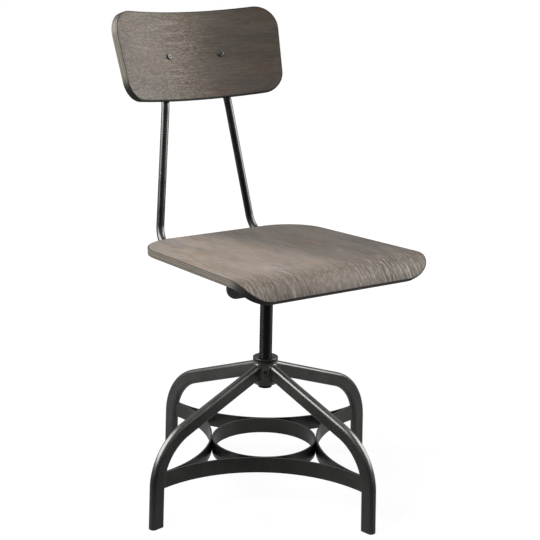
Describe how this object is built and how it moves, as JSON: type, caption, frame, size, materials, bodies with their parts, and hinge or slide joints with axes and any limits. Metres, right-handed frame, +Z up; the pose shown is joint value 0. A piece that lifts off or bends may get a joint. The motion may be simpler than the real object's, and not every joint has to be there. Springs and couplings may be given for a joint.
{
  "type": "swivel chair",
  "caption": "Armless swivel chair: curved weathered plywood seat and back on a screw post that sets the height, over a four-legged dark steel tube base with a foot ring.",
  "frame": {"origin": "on the floor, on the axis of the screw post", "axes": "+Z up; the sitter faces -Y, so the seat's rolled edge is towards -Y and the back is towards +Y; +X is the right side in a view from the front, which is the sitter's left"},
  "size_m": [0.5712, 0.6031, 0.9095],
  "materials": {
    "base_steel": "gunmetal lacquer, rubbed satin",
    "thread_steel": "blackened, oiled",
    "frame_steel": "black satin",
    "tube_steel": "raw steel, clear lacquered",
    "fastener_black": "black oxide",
    "cap_plastic": "matt",
    "glide_rubber": "matt",
    "seat_ply": "weathered grey-brown, matt",
    "back_ply": "weathered grey-brown, matt"
  },
  "bodies": {
    "base": {"hub": "base_steel", "cap_nut": "base_steel", "lower_bush": "thread_steel", "hub_set_screw": "fastener_black", "foot_ring": "base_steel", "leg_front_left": "base_steel", "glide_front_left": "glide_rubber", "leg_front_right": "base_steel", "glide_front_right": "glide_rubber", "leg_rear_left": "base_steel", "glide_rear_left": "glide_rubber", "leg_rear_right": "base_steel", "glide_rear_right": "glide_rubber", "strap_front": "base_steel", "strap_right": "base_steel", "strap_rear": "base_steel", "strap_left": "base_steel"},
    "lift": {"stop_washer": "thread_steel"},
    "seat": {"screw_post": "thread_steel", "stop_screw": "fastener_black", "spindle_boss": "frame_steel", "spindle_plate": "frame_steel", "cross_plate": "frame_steel", "back_tube_left": "tube_steel", "back_tube_right": "tube_steel", "tube_plug_left": "cap_plastic", "tube_plug_right": "cap_plastic", "seat_panel": "seat_ply", "back_panel": "back_ply", "seat_screws": "fastener_black", "back_bolts": "fastener_black", "back_nuts": "fastener_black", "back_spacers": "cap_plastic"}
  },
  "joints": [
    {"name": "seat_height", "type": "slide", "parent": "base", "child": "lift", "axis": [0, 0, 1], "range_m": [-0.15, 0.004]},
    {"name": "seat_turn", "type": "hinge", "parent": "lift", "child": "seat", "pos_m": [0, 0, 0.25], "axis": [0, 0, 1], "range_deg": [-18000, 480]}
  ],
  "couplings": [
    {"joint": "seat_height", "follows": "seat_turn", "m_per_rad": 0.00047746}
  ]
}
